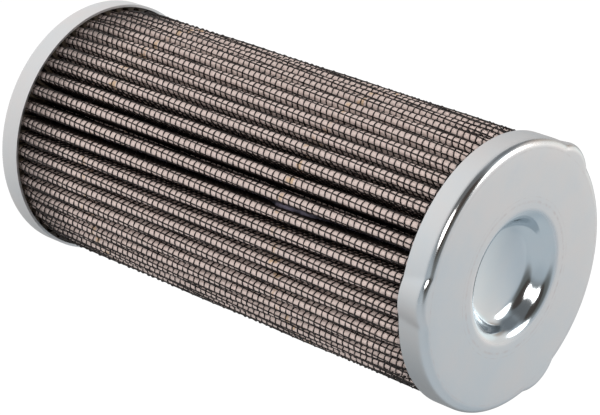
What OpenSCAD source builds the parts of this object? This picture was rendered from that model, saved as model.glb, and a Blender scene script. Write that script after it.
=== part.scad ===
// Hydraulic filter element: a pleated pack between two drawn end caps.
// It stands on its open end, with the origin at the middle of that end's face.

/* [Element] */
// Outside diameter of both end caps
element_d = 52; // [48:0.5:60]
// Length over both end caps
element_l = 110; // [60:1:200]

/* [End cap sheet] */
// Thickness of the drawn sheet
sheet_t = 0.5; // [0.4:0.05:0.7]
// Outside radius of the bend between face and skirt
cap_bend_r = 1.2; // [0.8:0.1:1.4]
// Height of the closed cap's skirt
closed_skirt_h = 5.5; // [5.2:0.1:9]
// Height of the open cap's skirt
open_skirt_h = 5; // [4.5:0.1:9]
// Height of the open cap's inner collar
collar_h = 5; // [4.2:0.1:6]

/* [Centring lobes] */
// Number of lobes round the closed cap
lobes = 3; // [2:1:6]
// How far a lobe stands out of the skirt at the face
lobe_out = 1.15; // [0.6:0.05:1.8]
// Radius of a lobe's round back at the face
lobe_r = 8; // [6:0.5:11]
// How much smaller that radius is at the skirt's rim
lobe_taper = 0.5; // [0:0.05:0.5]

/* [Dish in the closed face] */
// Diameter at which the flat face starts to turn into the dish
dish_d = 26.4; // [22:0.2:28]
// Radius of the rolled lip
dish_lip_r = 3; // [2:0.1:3.4]
// Steepest slope of the dish wall
dish_wall_angle = 60; // [50:1:64]
// Length of the straight wall on that slope
dish_wall_l = 0.9; // [0.4:0.1:1.2]
// Radius between wall and floor
dish_foot_r = 2.5; // [1.5:0.1:3]
// Slope of the floor where it meets that radius
dish_floor_angle = 14; // [6:1:16]

/* [Seal carrier] */
// Diameter of the bore that slides over the spigot
bore_d = 22.4; // [20.8:0.2:23]
// Wall left behind the seal groove
carrier_wall = 0.8; // [0.6:0.05:1.2]
// Length of the bore in front of the seal groove
front_land = 3.4; // [3:0.1:4]
// Length of the bore behind the seal groove
back_land = 1.4; // [1:0.1:3]
// Chamfer at the mouth of the bore
bore_chamfer = 0.6; // [0.3:0.1:0.8]
// Thickness of the O-ring
seal_d = 3; // [2.4:0.1:3.2]
// How far the O-ring reaches into the bore
seal_squeeze = 0.6; // [0.3:0.05:0.8]
// Room beside the O-ring in its groove
groove_room = 0.6; // [0.3:0.1:0.8]

/* [Core tube] */
// Wall of the perforated core tube
core_t = 0.8; // [0.6:0.1:1]
// Diameter of the holes
hole_d = 5; // [3:0.5:5.5]
// Distance between rows of holes
hole_pitch = 8.5; // [7:0.5:12]
// Holes in a row, with one more place left blank for the seam
holes_in_row = 8; // [6:1:9]
// Width of the butt seam
core_slit = 0.3; // [0.2:0.05:0.6]

/* [Pleated pack] */
// Number of pleats
pleats = 48; // [36:1:50]
// Room between the pleat crests and the caps' skirts
pack_room = 0.1; // [0.05:0.05:1]
// Radius of a pleat's outer fold
crest_r = 1.2; // [1:0.01:1.3]
// Radius of the fold at the bottom of a valley
valley_r = 0.05; // [0.03:0.01:0.1]
// Direction of the first pleat, measured from the first lobe
pleat_turn = 4.3; // [0:0.1:7.4]
// Flat strips along the round of a crest
crest_steps = 4; // [4:2:8]
// Flat strips along the round of a valley
valley_steps = 2; // [2:2:6]

/* [Pack layers] */
// Upstream mesh behind its line wires
mesh_web_t = 0.15; // [0.1:0.01:0.16]
// Line wires standing out of that mesh
line_wire_t = 0.15; // [0.1:0.01:0.2]
// Upstream fleece
fleece_t = 0.1; // [0.06:0.01:0.12]
// Coarse glass-fibre layer
coarse_t = 0.12; // [0.08:0.01:0.14]
// Fine glass-fibre layer
fine_t = 0.12; // [0.08:0.01:0.14]
// Drainage fleece
drain_t = 0.08; // [0.05:0.01:0.1]
// Downstream mesh
support_t = 0.15; // [0.1:0.01:0.18]

/* [Potting] */
// Compound under the ends of the pack
potting_floor = 0.5; // [0.3:0.1:1]
// Depth of compound in the closed cap
closed_potting_h = 4; // [2.5:0.1:4.4]
// Depth of compound in the open cap
open_potting_h = 3.4; // [2.5:0.1:3.6]
// Valley that holds the side seam, counted from the first pleat
seam_valley = 45; // [0:1:47]
// How far the side seam's bead fills its valley
seam_depth = 3; // [2:0.5:7]

/* [Fits] */
// Clearance between round pieces that slide into each other
slip = 0.05; // [0.03:0.01:0.1]

/* [Hidden] */
$fn = 96;

element_r = element_d / 2;
cut = 1;
full_turn = 360;
arc_steps = 8;

// Radii from the spigot outwards
bore_r = bore_d / 2;
groove_r = bore_r - seal_squeeze + seal_d + slip;
carrier_r = groove_r + carrier_wall;
collar_r = carrier_r + sheet_t;
core_r = collar_r;
core_bore_r = core_r - core_t;
pack_root_r = core_r + slip;
pack_r = element_r - sheet_t - pack_room;

// Heights
core_z = collar_h;
core_l = element_l - sheet_t - core_z;
pack_z = sheet_t + potting_floor;
pack_l = element_l - 2 * pack_z;
carrier_z = 0.2;
groove_z = front_land + carrier_z;
groove_h = seal_d + groove_room;
carrier_h = front_land + groove_h + back_land;

// How far a lobe reaches in under the face, and how far its top lies below it
lobe_root = 3;
lobe_step = 0.02;

// Depth of each layer's upstream face below the crest of the line wires
mesh_s = line_wire_t;
fleece_s = mesh_s + mesh_web_t;
coarse_s = fleece_s + fleece_t;
fine_s = coarse_s + coarse_t;
drain_s = fine_s + fine_t;
support_s = drain_s + drain_t;
pack_s = support_s + support_t;

// Centres of a pleat's two folds, the angle between them, and the leg that touches both
half_pitch = full_turn / pleats / 2;
crest_c = [pack_r - crest_r, 0];
valley_c = (pack_root_r + valley_r + pack_s) * [cos(half_pitch), sin(half_pitch)];
fold_gap = valley_c - crest_c;
leg_turn = atan2(fold_gap.y, fold_gap.x) + asin((crest_r + valley_r) / norm(fold_gap)) - 90;

// Half the width of a line wire as an angle of the fold, and the turn from one wire to the next
line_wire_half = asin(line_wire_t / crest_r);
shoulder_inset = 1.25;
line_wire_step = leg_turn - shoulder_inset * line_wire_half;

// Point at distance r and angle a from the point c
function polar(c, r, a) = c + r * [cos(a), sin(a)];

// Turn a point about the origin
function turned(p, a) = [p.x * cos(a) - p.y * sin(a), p.x * sin(a) + p.y * cos(a)];

// Arc about c from angle a to angle b in n steps
function arc(c, r, a, b, n) = [for (i = [0:n]) polar(c, r, a + (b - a) * i / n)];

// The fold at a crest and at the next valley, for the face at depth s in the pack
function crest_fold(s) = arc(crest_c, crest_r - s, -leg_turn, leg_turn, crest_steps);
function valley_fold(s) =
    arc(valley_c, valley_r + s, leg_turn + 180, 2 * half_pitch - leg_turn + 180, valley_steps);

// The crest again, with three line wires standing out of the mesh
function wire_ridge(a) = [
    polar(crest_c, crest_r - mesh_s, a - line_wire_half),
    polar(crest_c, crest_r, a - line_wire_half),
    polar(crest_c, crest_r, a + line_wire_half),
    polar(crest_c, crest_r - mesh_s, a + line_wire_half)
];
function wired_crest() = concat(
    [polar(crest_c, crest_r - mesh_s, -leg_turn)],
    wire_ridge(-line_wire_step),
    [polar(crest_c, crest_r - mesh_s, -line_wire_step / 2)],
    wire_ridge(0),
    [polar(crest_c, crest_r - mesh_s, line_wire_step / 2)],
    wire_ridge(line_wire_step),
    [polar(crest_c, crest_r - mesh_s, leg_turn)]
);

// One pleat repeated round the pack
function round_pack(pleat) = [
    for (i = [0:pleats - 1])
        for (p = pleat)
            turned(p, pleat_turn + i * full_turn / pleats)
];
function pack_line(s) = round_pack(concat(crest_fold(s), valley_fold(s)));
function wired_line() = round_pack(concat(wired_crest(), valley_fold(mesh_s)));

// Region between two closed lines
module ring_region(outer, inner) {
    polygon(
        points = concat(outer, inner),
        paths = [
            [for (i = [0:len(outer) - 1]) i],
            [for (i = [0:len(inner) - 1]) len(outer) + i]
        ]
    );
}

// One layer of the pack, from depth s0 to depth s1
module pack_layer(s0, s1) {
    translate([0, 0, pack_z])
        linear_extrude(pack_l)
            ring_region(pack_line(s0), pack_line(s1));
}

// The space that the whole pack takes up
module pack_space() {
    translate([0, 0, pack_z])
        linear_extrude(pack_l)
            ring_region(wired_line(), pack_line(pack_s));
}

module downstream_mesh() {
    color("dimgray") pack_layer(support_s, pack_s);
}

module drainage_fleece() {
    color("ghostwhite") pack_layer(drain_s, support_s);
}

module fine_glass_layer() {
    color("white") pack_layer(fine_s, drain_s);
}

module coarse_glass_layer() {
    color("mistyrose") pack_layer(coarse_s, fine_s);
}

module upstream_fleece() {
    color("mistyrose") pack_layer(fleece_s, coarse_s);
}

module upstream_mesh() {
    color([0.16, 0.12, 0.11])
        translate([0, 0, pack_z])
            linear_extrude(pack_l)
                ring_region(wired_line(), pack_line(fleece_s));
}

// Bead of adhesive in the valley where the two ends of the pack meet
seam_turn = pleat_turn + seam_valley * full_turn / pleats;
function leg_point(side) =
    let (
        a = side > 0 ? leg_turn + 180 : 2 * half_pitch - leg_turn + 180,
        foot = polar(valley_c, valley_r + mesh_s, a),
        along = side > 0 ? leg_turn - 90 : 2 * half_pitch - leg_turn + 90
    )
    foot + seam_depth * [cos(along), sin(along)];

module side_seam() {
    bead = concat([leg_point(1)], valley_fold(mesh_s), [leg_point(-1)]);
    color([0.45, 0.45, 0.6])
        translate([0, 0, sheet_t + open_potting_h])
            linear_extrude(element_l - 2 * sheet_t - open_potting_h - closed_potting_h)
                polygon([for (p = bead) turned(p, seam_turn)]);
}

// Perforated tube, rolled to a butt seam, that keeps the pleats from collapsing inwards
hole_places = holes_in_row + 1;
hole_margin = 8;
hole_rows = floor((core_l - 2 * hole_margin) / hole_pitch) + 1;
hole_z = core_z + (core_l - (hole_rows - 1) * hole_pitch) / 2;
first_hole = 0.75;
row_shift = 0.5;

module core_holes() {
    for (row = [0:hole_rows - 1])
        for (i = [0:holes_in_row - 1])
            rotate([0, 0, (i + first_hole + (row % 2) * row_shift) * full_turn / hole_places])
                translate([core_bore_r - cut, 0, hole_z + row * hole_pitch])
                    rotate([0, 90, 0])
                        cylinder(d = hole_d, h = core_t + 2 * cut, $fn = 32);
}

module core_tube() {
    color("silver")
        difference() {
            translate([0, 0, core_z]) cylinder(r = core_r, h = core_l);
            translate([0, 0, core_z - cut]) cylinder(r = core_bore_r, h = core_l + 2 * cut);
            core_holes();
            translate([0, -core_slit / 2, core_z - cut])
                cube([core_r + cut, core_slit, core_l + 2 * cut]);
        }
}

// Turned ring in the open cap, with the groove that holds the O-ring
module seal_carrier() {
    top_z = carrier_z + carrier_h;
    head_r = core_bore_r - slip;
    color("darkgray")
        rotate_extrude()
            polygon([
                [bore_r + bore_chamfer, carrier_z],
                [carrier_r, carrier_z],
                [carrier_r, core_z],
                [head_r, core_z],
                [head_r, top_z],
                [bore_r + bore_chamfer, top_z],
                [bore_r, top_z - bore_chamfer],
                [bore_r, groove_z + groove_h],
                [groove_r, groove_z + groove_h],
                [groove_r, groove_z],
                [bore_r, groove_z],
                [bore_r, carrier_z + bore_chamfer]
            ]);
}

module o_ring() {
    color([0.08, 0.08, 0.08])
        rotate_extrude()
            translate([bore_r - seal_squeeze + seal_d / 2, groove_z + slip + seal_d / 2])
                circle(d = seal_d, $fn = 48);
}

// Drawn ring with an inner collar, the lower cup of the element
module open_end_cap() {
    bend_in = cap_bend_r - sheet_t;
    skirt_c = [element_r - cap_bend_r, cap_bend_r];
    collar_c = [carrier_r + cap_bend_r, cap_bend_r];
    color("lightgray")
        rotate_extrude()
            polygon(concat(
                [[carrier_r, collar_h]],
                arc(collar_c, cap_bend_r, 180, 270, arc_steps),
                arc(skirt_c, cap_bend_r, 270, 360, arc_steps),
                [[element_r, open_skirt_h], [element_r - sheet_t, open_skirt_h]],
                arc(skirt_c, bend_in, 360, 270, arc_steps),
                arc(collar_c, bend_in, 270, 180, arc_steps),
                [[collar_r, collar_h]]
            ));
}

module open_end_potting() {
    bend_in = cap_bend_r - sheet_t;
    top_z = sheet_t + open_potting_h;
    color([0.75, 0.7, 0.55])
        difference() {
            rotate_extrude()
                polygon(concat(
                    [[collar_r, top_z]],
                    arc([carrier_r + cap_bend_r, cap_bend_r], bend_in, 180, 270, arc_steps),
                    arc([element_r - cap_bend_r, cap_bend_r], bend_in, 270, 360, arc_steps),
                    [[element_r - sheet_t, top_z]]
                ));
            pack_space();
        }
}

module closed_end_potting() {
    bend_in = cap_bend_r - sheet_t;
    floor_z = element_l - sheet_t;
    color([0.75, 0.7, 0.55])
        difference() {
            rotate_extrude()
                polygon(concat(
                    [[core_r, floor_z]],
                    [[core_r, floor_z - closed_potting_h]],
                    [[element_r - sheet_t, floor_z - closed_potting_h]],
                    arc([element_r - cap_bend_r, element_l - cap_bend_r], bend_in, 0, 90, arc_steps)
                ));
            pack_space();
        }
}

// The dish line as [radius, height, slope] from the flat face to the axis
dish_r = dish_d / 2;
lip_c = [dish_r, element_l - dish_lip_r];
wall_top = lip_c + dish_lip_r * [-sin(dish_wall_angle), cos(dish_wall_angle)];
wall_foot = wall_top - dish_wall_l * [cos(dish_wall_angle), sin(dish_wall_angle)];
foot_c = wall_foot + dish_foot_r * [-sin(dish_wall_angle), cos(dish_wall_angle)];
floor_edge = foot_c - dish_foot_r * [-sin(dish_floor_angle), cos(dish_floor_angle)];
floor_r = floor_edge.x / sin(dish_floor_angle);
floor_c = [0, floor_edge.y + floor_r * cos(dish_floor_angle)];

function slope_normal(a) = [-sin(a), cos(a)];

// Points of the dish on the side that lies depth below the outer surface
function dish_line(depth) = concat(
    [for (i = [0:arc_steps]) lip_c
        + (dish_lip_r - depth) * slope_normal(dish_wall_angle * i / arc_steps)],
    [for (i = [0:arc_steps]) foot_c - (dish_foot_r + depth)
        * slope_normal(dish_wall_angle + (dish_floor_angle - dish_wall_angle) * i / arc_steps)],
    [for (i = [1:arc_steps]) floor_c - (floor_r + depth)
        * slope_normal(dish_floor_angle * (1 - i / arc_steps))]
);

function reversed(list) = [for (i = [len(list) - 1:-1:0]) list[i]];

// Outline of the closed cap's cup at the given depth below its outer surface, filled down to base_z
module cup_fill(depth, base_z) {
    corner_c = [element_r - cap_bend_r, element_l - cap_bend_r];
    rotate_extrude()
        polygon(concat(
            [[0, base_z]],
            reversed(dish_line(depth)),
            arc(corner_c, cap_bend_r - depth, 90, 0, arc_steps),
            [[element_r - depth, base_z]]
        ));
}

// The outer part of a lobe's tapered round plug, or of its inside when depth is the sheet.
// Its top lies a hair below the flat face, where the pressed sheet pulls in.
module lobe_tip(depth, base_z) {
    bend_c = [lobe_r - cap_bend_r, element_l - lobe_step - cap_bend_r];
    intersection() {
        translate([element_r + lobe_out - lobe_r, 0, 0])
            rotate_extrude()
                polygon(concat(
                    [[0, base_z], [0, element_l - lobe_step - depth]],
                    arc(bend_c, cap_bend_r - depth, 90, 0, arc_steps),
                    [[lobe_r - lobe_taper - depth, base_z]]
                ));
        translate([element_r - lobe_root, -lobe_r, base_z])
            cube([2 * lobe_root, 2 * lobe_r, element_l - base_z]);
    }
}

// The cup with its lobes, as one filled form
module lobed_fill(depth, base_z) {
    union() {
        cup_fill(depth, base_z);
        for (i = [0:lobes - 1])
            rotate([0, 0, i * full_turn / lobes])
                lobe_tip(depth, base_z);
    }
}

// Closed cap: a deep-drawn cup with a dished middle and three lobes pressed out of its skirt
module closed_end_cap() {
    rim_z = element_l - closed_skirt_h;
    color("lightgray")
        difference() {
            lobed_fill(0, rim_z);
            lobed_fill(sheet_t, rim_z - cut);
        }
}

open_end_cap();
seal_carrier();
o_ring();
core_tube();
downstream_mesh();
drainage_fleece();
fine_glass_layer();
coarse_glass_layer();
upstream_fleece();
upstream_mesh();
side_seam();
open_end_potting();
closed_end_potting();
closed_end_cap();
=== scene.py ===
# Hydraulic filter element: a pleated, wire-backed pack between two drawn zinc-plated end caps.
import math
import bmesh
import bpy
import numpy as np
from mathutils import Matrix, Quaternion, Vector


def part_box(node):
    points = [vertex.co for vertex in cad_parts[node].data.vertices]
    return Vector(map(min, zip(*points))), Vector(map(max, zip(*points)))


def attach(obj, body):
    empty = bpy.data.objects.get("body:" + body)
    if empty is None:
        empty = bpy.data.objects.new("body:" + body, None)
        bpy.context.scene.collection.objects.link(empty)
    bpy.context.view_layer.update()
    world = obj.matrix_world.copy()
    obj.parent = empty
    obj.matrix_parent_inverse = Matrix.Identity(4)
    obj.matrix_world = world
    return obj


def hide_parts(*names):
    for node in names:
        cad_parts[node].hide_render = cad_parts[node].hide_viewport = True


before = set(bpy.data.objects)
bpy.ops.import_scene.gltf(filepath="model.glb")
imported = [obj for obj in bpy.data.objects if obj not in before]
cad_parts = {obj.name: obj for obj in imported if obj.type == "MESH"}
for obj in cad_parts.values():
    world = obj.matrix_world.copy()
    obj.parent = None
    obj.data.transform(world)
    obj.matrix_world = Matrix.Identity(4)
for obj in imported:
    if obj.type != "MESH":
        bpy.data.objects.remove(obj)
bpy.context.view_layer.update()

# Camera: a long lens looks down on the closed cap, with the element's axis running across the
# picture from the near lower right to the far upper left.
CAMERA_PLACE = (0.33044, -0.12287, 0.33150)
CAMERA_AZIMUTH = math.radians(-20.684)
CAMERA_ELEVATION = math.radians(37.740)
CAMERA_ROLL = math.radians(110.64)
CAMERA_LENS = 138.66
SENSOR_WIDTH = 36.0
towards_camera = Vector((
    math.cos(CAMERA_ELEVATION) * math.cos(CAMERA_AZIMUTH),
    math.cos(CAMERA_ELEVATION) * math.sin(CAMERA_AZIMUTH),
    math.sin(CAMERA_ELEVATION),
))
camera_data = bpy.data.cameras.new("camera")
camera_data.lens = CAMERA_LENS
camera_data.sensor_width = SENSOR_WIDTH
camera_data.clip_start = 0.01
camera_data.clip_end = 20.0
camera = bpy.data.objects.new("camera", camera_data)
camera.location = CAMERA_PLACE
camera.rotation_mode = "QUATERNION"
camera_roll = Quaternion((0, 0, 1), CAMERA_ROLL)
camera.rotation_quaternion = towards_camera.to_track_quat("Z", "Y") @ camera_roll
bpy.context.scene.collection.objects.link(camera)
bpy.context.scene.camera = camera
bpy.context.scene.view_settings.view_transform = "Standard"
bpy.context.scene.view_settings.look = "None"

# Floor: a plain white table. It is white in the picture, throws back less light than it shows, and
# is brighter on the lamps' side where the metal mirrors it.
FLOOR_HALF = 4.0
FLOOR_SHOWN = 1.0
FLOOR_THROWN = 0.45
FLOOR_MIRRORED_DIM = 0.27
FLOOR_MIRRORED_BRIGHT = 0.99
FLOOR_BRIGHT_AZIMUTH = math.radians(-56)
FLOOR_BRIGHT_SIDE = (math.cos(FLOOR_BRIGHT_AZIMUTH), math.sin(FLOOR_BRIGHT_AZIMUTH), 0)
floor_bm = bmesh.new()
bmesh.ops.create_grid(floor_bm, x_segments=1, y_segments=1, size=FLOOR_HALF)
floor_mesh = bpy.data.meshes.new("floor")
floor_bm.to_mesh(floor_mesh)
floor_bm.free()
floor = bpy.data.objects.new("floor", floor_mesh)
bpy.context.scene.collection.objects.link(floor)
floor_paint = bpy.data.materials.new("white_table")
floor_paint.use_nodes = True
floor_mesh.materials.append(floor_paint)
nodes, links = floor_paint.node_tree.nodes, floor_paint.node_tree.links
bsdf = nodes["Principled BSDF"]
bsdf.inputs["Base Color"].default_value = (0.05, 0.05, 0.05, 1)
bsdf.inputs["Roughness"].default_value = 1.0
bsdf.inputs["Specular IOR Level"].default_value = 0.0
bsdf.inputs["Emission Color"].default_value = (1, 1, 1, 1)
floor_place = nodes.new("ShaderNodeTexCoord")
floor_way = nodes.new("ShaderNodeVectorMath")
floor_way.operation = "NORMALIZE"
links.new(floor_place.outputs["Object"], floor_way.inputs[0])
floor_side = nodes.new("ShaderNodeVectorMath")
floor_side.operation = "DOT_PRODUCT"
floor_side.inputs[1].default_value = FLOOR_BRIGHT_SIDE
links.new(floor_way.outputs["Vector"], floor_side.inputs[0])
floor_mirrored = nodes.new("ShaderNodeMapRange")
floor_mirrored.inputs["From Min"].default_value = -1.0
floor_mirrored.inputs["To Min"].default_value = FLOOR_MIRRORED_DIM
floor_mirrored.inputs["To Max"].default_value = FLOOR_MIRRORED_BRIGHT
links.new(floor_side.outputs["Value"], floor_mirrored.inputs["Value"])
floor_ray = nodes.new("ShaderNodeLightPath")
floor_thrown = nodes.new("ShaderNodeMapRange")
floor_thrown.inputs["To Min"].default_value = FLOOR_THROWN
links.new(floor_ray.outputs["Is Glossy Ray"], floor_thrown.inputs["Value"])
links.new(floor_mirrored.outputs["Result"], floor_thrown.inputs["To Max"])
floor_level = nodes.new("ShaderNodeMapRange")
floor_level.inputs["To Max"].default_value = FLOOR_SHOWN
links.new(floor_ray.outputs["Is Camera Ray"], floor_level.inputs["Value"])
links.new(floor_thrown.outputs["Result"], floor_level.inputs["To Min"])
links.new(floor_level.outputs["Result"], bsdf.inputs["Emission Strength"])


def room_direction(azimuth, elevation):
    """Direction in the room, in degrees round from +X and up from level."""
    a, e = math.radians(azimuth), math.radians(elevation)
    return Vector((math.cos(e) * math.cos(a), math.cos(e) * math.sin(a), math.sin(e)))


# Room: a soft blue-grey tent. The polished metal mirrors its dark top and camera side and a bright
# wall on the left. Each patch has a direction, its half width and softness in degrees, and what it
# adds. The cloth patches light only rough surfaces, and the rest of the room lights those less.
ROOM_COLOUR = (0.50, 0.545, 0.58)
ROOM_DARKEST = (0.075, 0.062, 0.055)
ROOM_PATCHES = (
    (room_direction(-64, 74), 28, 10, (-0.34, -0.38, -0.42)),
    (room_direction(-60, 36), 36, 12, (-0.33, -0.37, -0.40)),
    (room_direction(-118, 14), 15, 8, (-0.28, -0.31, -0.33)),
    (room_direction(-148, 4), 13, 7, (-0.34, -0.38, -0.41)),
    (room_direction(75, 25), 50, 20, (0.12, 0.12, 0.12)),
    (room_direction(155, 52), 15, 10, (0.11, 0.10, 0.10)),
    (room_direction(162, 12), 14, 12, (0.17, 0.16, 0.15)),
    (room_direction(-174, 8), 12, 8, (0.08, 0.20, 0.22)),
    (room_direction(192, 22), 26, 14, (0.46, 0.365, 0.29)),
)
CLOTH_PATCHES = (
    (room_direction(-16, 36), 24, 14, (2.3, 2.2, 2.15)),
    (room_direction(-125, 48), 24, 14, (1.9, 1.83, 1.79)),
)
CLOTH_DIM = 0.55
room = bpy.data.worlds.new("room")
room.use_nodes = True
bpy.context.scene.world = room
nodes, links = room.node_tree.nodes, room.node_tree.links
room_view = nodes.new("ShaderNodeTexCoord")
room_base = nodes.new("ShaderNodeCombineXYZ")
for axis, level in zip("XYZ", ROOM_COLOUR):
    room_base.inputs[axis].default_value = level


def add_patches(light, patches):
    """This light with soft round patches added to it."""
    for direction, half_width, softness, added in patches:
        facing = nodes.new("ShaderNodeVectorMath")
        facing.operation = "DOT_PRODUCT"
        facing.inputs[1].default_value = direction
        links.new(room_view.outputs["Generated"], facing.inputs[0])
        mask = nodes.new("ShaderNodeMapRange")
        mask.interpolation_type = "SMOOTHSTEP"
        mask.inputs["From Min"].default_value = math.cos(math.radians(half_width + softness))
        mask.inputs["From Max"].default_value = math.cos(math.radians(max(half_width - softness, 0)))
        links.new(facing.outputs["Value"], mask.inputs["Value"])
        patch = nodes.new("ShaderNodeVectorMath")
        patch.operation = "MULTIPLY_ADD"
        patch.inputs[0].default_value = added
        links.new(mask.outputs["Result"], patch.inputs[1])
        links.new(light, patch.inputs[2])
        light = patch.outputs[0]
    return light


lit_room = nodes.new("ShaderNodeVectorMath")
lit_room.operation = "MAXIMUM"
lit_room.inputs[1].default_value = ROOM_DARKEST
links.new(add_patches(room_base.outputs[0], ROOM_PATCHES), lit_room.inputs[0])
cloth_room = nodes.new("ShaderNodeVectorMath")
cloth_room.operation = "SCALE"
cloth_room.inputs["Scale"].default_value = CLOTH_DIM
links.new(lit_room.outputs[0], cloth_room.inputs[0])
room_for_ray = nodes.new("ShaderNodeMix")
room_for_ray.data_type = "VECTOR"
links.new(lit_room.outputs[0], room_for_ray.inputs[4])
links.new(add_patches(cloth_room.outputs[0], CLOTH_PATCHES), room_for_ray.inputs[5])
links.new(room_for_ray.outputs[1], nodes["Background"].inputs["Color"])
room_shown = nodes.new("ShaderNodeBackground")
room_ray = nodes.new("ShaderNodeLightPath")
room_choice = nodes.new("ShaderNodeMixShader")
room_shown.inputs["Color"].default_value = (1, 1, 1, 1)
links.new(room_ray.outputs["Is Diffuse Ray"], room_for_ray.inputs[0])
links.new(room_ray.outputs["Is Camera Ray"], room_choice.inputs[0])
links.new(nodes["Background"].outputs[0], room_choice.inputs[1])
links.new(room_shown.outputs[0], room_choice.inputs[2])
links.new(room_choice.outputs[0], nodes["World Output"].inputs["Surface"])

# Lamps: two oval softboxes of warm white light. They make the highlights on the bend and in the
# dish.
LAMP_DISTANCE = 1.0
LAMP_AIM = Vector((0, 0, 0.08))
LAMP_COLOUR = (1.0, 0.97, 0.94)


def softbox(name, direction, width, height, watts):
    """Oval studio light that faces the upper half of the element."""
    data = bpy.data.lights.new(name, "AREA")
    data.shape = "ELLIPSE"
    data.size = width
    data.size_y = height
    data.energy = watts
    data.color = LAMP_COLOUR
    lamp = bpy.data.objects.new(name, data)
    lamp.location = LAMP_AIM + direction * LAMP_DISTANCE
    lamp.rotation_mode = "QUATERNION"
    lamp.rotation_quaternion = direction.to_track_quat("Z", "Y")
    bpy.context.scene.collection.objects.link(lamp)


softbox("left_softbox", room_direction(-142, 49), width=0.46, height=0.54, watts=2.2)
softbox("right_softbox", room_direction(-39, 42), width=0.44, height=0.50, watts=2.5)

# Pleated pack: six layers folded together as one sheet, 48 pleats round the core, and joined in
# one valley. The folding leaves the pleats a little wound, and they don't stand quite evenly.
PLEATS = 48
CREST_R = 0.0012
VALLEY_R = 0.00005
PACK_DEPTH = 0.00087
PLEAT_TURN = math.radians(4.3)
SEAM_PLEAT = 45
SHEET_T = 0.0005
PACK_ROOM = 0.0001
CORE_SLIP = 0.00005
pack_low, pack_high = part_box("downstream_mesh")
PACK_BOTTOM, PACK_TOP = pack_low.z, pack_high.z
PACK_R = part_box("open_end_cap")[1].x - SHEET_T - PACK_ROOM
CORE_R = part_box("core_tube")[1].y
pleat_pitch = 2 * math.pi / PLEATS
crest_centre = Vector((PACK_R - CREST_R, 0))
valley_centre = Vector((math.cos(pleat_pitch / 2), math.sin(pleat_pitch / 2)))
valley_centre *= CORE_R + CORE_SLIP + VALLEY_R + PACK_DEPTH
fold_gap = valley_centre - crest_centre
LEG_TURN = (math.atan2(fold_gap.y, fold_gap.x)
            + math.asin((CREST_R + VALLEY_R) / fold_gap.length) - math.pi / 2)
LEG_LENGTH = math.sqrt(fold_gap.length_squared - (CREST_R + VALLEY_R) ** 2)

# Lengths are counted along the mesh, as on the flat sheet before it was folded
MESH_DEPTH = 0.00022
CREST_HALF = (CREST_R - MESH_DEPTH) * LEG_TURN
VALLEY_HALF = (VALLEY_R + MESH_DEPTH) * (LEG_TURN - pleat_pitch / 2)
PLEAT_LENGTH = 2 * (CREST_HALF + LEG_LENGTH + VALLEY_HALF)
SHEET_LENGTH = PLEATS * PLEAT_LENGTH
SHEET_START = (SEAM_PLEAT + 0.5 - PLEATS) * PLEAT_LENGTH
PACK_WIND = math.radians(-2.5)
SWAY = 0.15
SWAY_WAVES = 13
# The pleats are drawn in a little where the caps' resin holds them
PINCH = 0.0006
PINCH_LOW, PINCH_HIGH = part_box("open_end_cap")[1].z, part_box("closed_end_cap")[0].z
PINCH_FADE = 0.004
# How far the pleats stand from even spacing, as (azimuth, shift) in degrees
PLEAT_SHIFTS = (
    (-140, 0.0), (-71, -0.5), (-56, -0.3), (-41, -0.45), (-33, -0.4), (-25.5, 0.0), (-18, 0.75),
    (-10, 0.95), (4, 0.85), (19, 1.1), (34, 1.3), (60, 0.9), (90, 0.3), (130, 0.4), (170, -0.3),
)


def folded(lengths, depths, heights):
    """Points in the pack at these lengths along the sheet, depths in it and heights."""
    lengths, depths, heights = np.broadcast_arrays(lengths, depths, heights)
    pleat = np.floor(lengths / PLEAT_LENGTH + 0.5)
    along = lengths - pleat * PLEAT_LENGTH
    side, reach = np.sign(along), np.abs(along)
    turn = np.minimum(reach / (CREST_R - MESH_DEPTH), LEG_TURN)
    down = np.clip(reach - CREST_HALF, 0, LEG_LENGTH)
    x = crest_centre.x + (CREST_R - depths) * np.cos(turn) - down * math.sin(LEG_TURN)
    y = (CREST_R - depths) * np.sin(turn) + down * math.cos(LEG_TURN)
    past = np.maximum(reach - CREST_HALF - LEG_LENGTH, 0) / (VALLEY_R + MESH_DEPTH)
    bend = LEG_TURN + math.pi - past
    x = np.where(past > 0, valley_centre.x + (VALLEY_R + depths) * np.cos(bend), x)
    y = np.where(past > 0, valley_centre.y + (VALLEY_R + depths) * np.sin(bend), y)
    rise = (heights - PACK_BOTTOM) / (PACK_TOP - PACK_BOTTOM) - 0.5
    radius, place = np.hypot(x, y), PLEAT_TURN + pleat * pleat_pitch + side * np.arctan2(y, x)
    shift = np.interp(np.degrees(place), *np.transpose(PLEAT_SHIFTS), period=360)
    sway = SWAY * np.sin(SWAY_WAVES * place + 2 - 4 * rise)
    place = place + PACK_WIND * rise + np.radians(shift + sway)
    from_rim = np.clip(np.minimum(heights - PINCH_LOW, PINCH_HIGH - heights) / PINCH_FADE, 0, 1)
    pinch = PINCH * (1 - from_rim) ** 2 * (radius - CORE_R) / (PACK_R - CORE_R)
    radius = radius - pinch
    return np.stack([radius * np.cos(place), radius * np.sin(place), heights], -1)


# The upper part of each leg, which is seen from outside
UPPER_LENGTH = 0.004


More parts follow.
